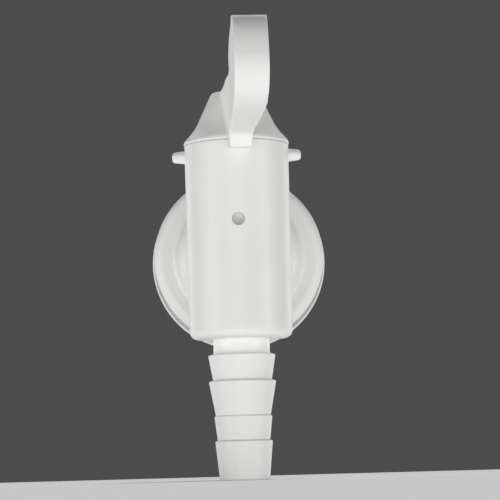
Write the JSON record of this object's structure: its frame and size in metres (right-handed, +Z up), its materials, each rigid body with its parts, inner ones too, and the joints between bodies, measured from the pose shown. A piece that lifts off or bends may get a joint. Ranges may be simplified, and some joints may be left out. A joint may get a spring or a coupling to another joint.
{
  "type": "lever tap",
  "caption": "Plastic lever tap for a brewing vessel: upright plug valve, flange and threaded stem with a back nut, and a barbed hose tail below.",
  "frame": {"origin": "where the axis of the inlet stem crosses the wall-side face of the flange", "axes": "+Y along the inlet stem into the vessel, +Z up along the barrel; with the lever straight ahead it points along -Y"},
  "size_m": [0.0454, 0.1065, 0.1063],
  "materials": {
    "body_polypropylene": "satin, injection moulded",
    "plug_polypropylene": "satin, injection moulded",
    "lever_polypropylene": "satin, injection moulded",
    "nut_polypropylene": "satin, injection moulded",
    "silicone_rubber": "matt, moulded",
    "nitrile_rubber": "semi-matt, greased"
  },
  "bodies": {
    "tap": {"tap_body": "body_polypropylene", "front_washer": "silicone_rubber"},
    "valve": {"valve_plug": "plug_polypropylene", "lever_cap": "lever_polypropylene", "upper_o_ring": "nitrile_rubber", "lower_o_ring": "nitrile_rubber"},
    "washer": {"rear_washer": "silicone_rubber"},
    "nut": {"back_nut": "nut_polypropylene"}
  },
  "joints": [
    {"name": "lever_turn", "type": "hinge", "parent": "tap", "child": "valve", "pos_m": [0, -0.0225, 0], "axis": [0, 0, 1], "range_deg": [-76.4, 68.6]},
    {"name": "nut_travel", "type": "slide", "parent": "tap", "child": "washer", "axis": [0, 1, 0], "range_m": [-0.0082, 0.005]},
    {"name": "nut_turn", "type": "hinge", "parent": "washer", "child": "nut", "pos_m": [0, 0.01235, 0], "axis": [0, 1, 0], "range_deg": [-1628, 993]}
  ],
  "couplings": [
    {"joint": "nut_turn", "follows": "nut_travel", "rad_per_m": 3463.7}
  ]
}
